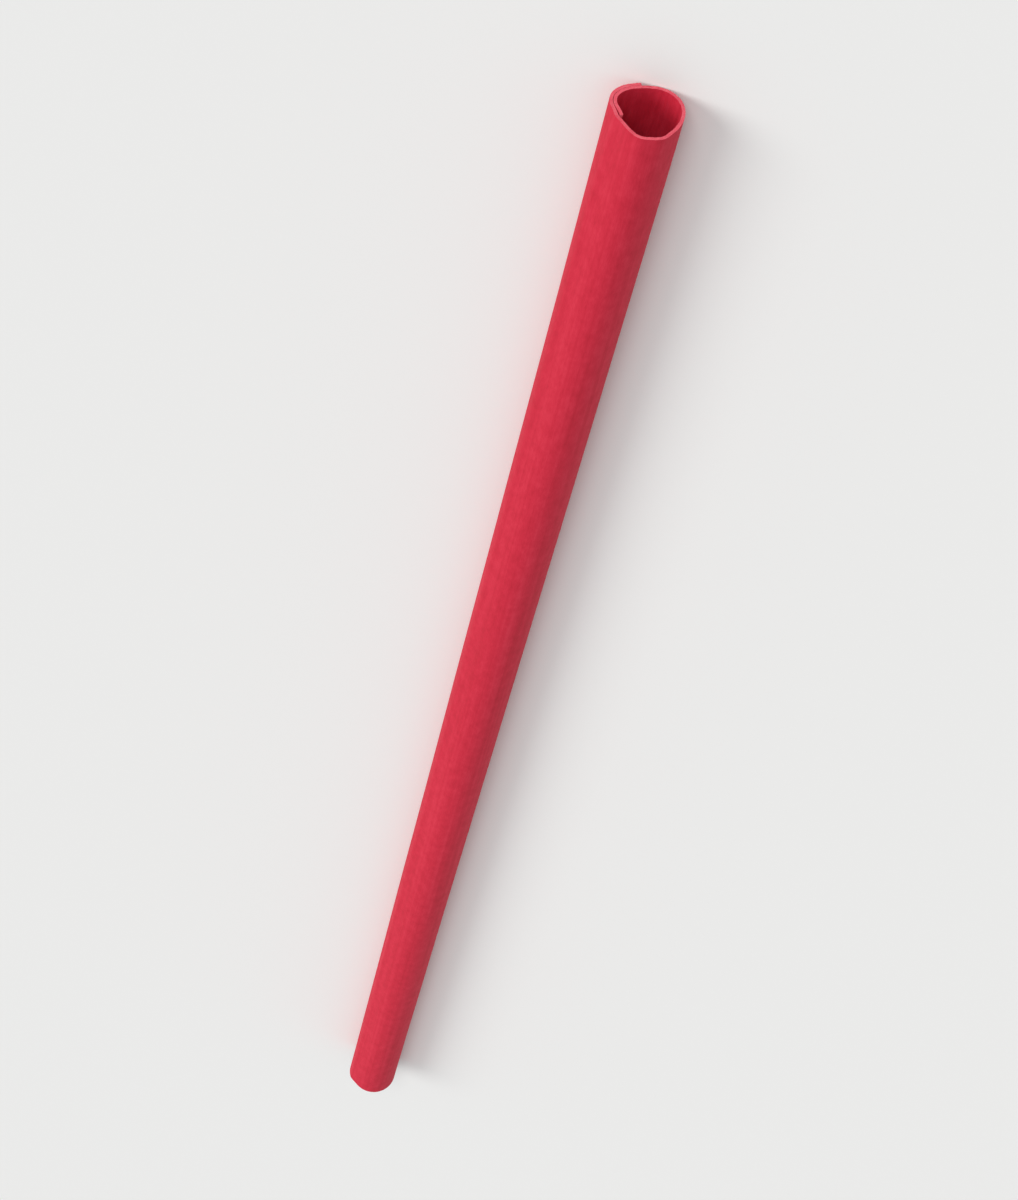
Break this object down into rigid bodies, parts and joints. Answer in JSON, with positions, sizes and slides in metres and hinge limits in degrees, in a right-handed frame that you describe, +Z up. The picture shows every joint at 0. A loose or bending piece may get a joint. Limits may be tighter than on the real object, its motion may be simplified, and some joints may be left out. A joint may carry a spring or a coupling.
{
  "type": "wrapped paper drinking straw",
  "caption": "Straight drinking straw wrapped lengthwise from one strip of heavy red paper, open at both ends, with a glued lap along its side.",
  "frame": {"origin": "middle of the underside of the box around the straw, as it lies at rest", "axes": "+Y along the straw away from its mouth, +Z up from the surface it lies on, +X towards the lap"},
  "size_m": [0.0062, 0.197, 0.006],
  "materials": {
    "paper": "matte"
  },
  "bodies": {
    "root": {"paper_tube": "paper"}
  },
  "joints": []
}
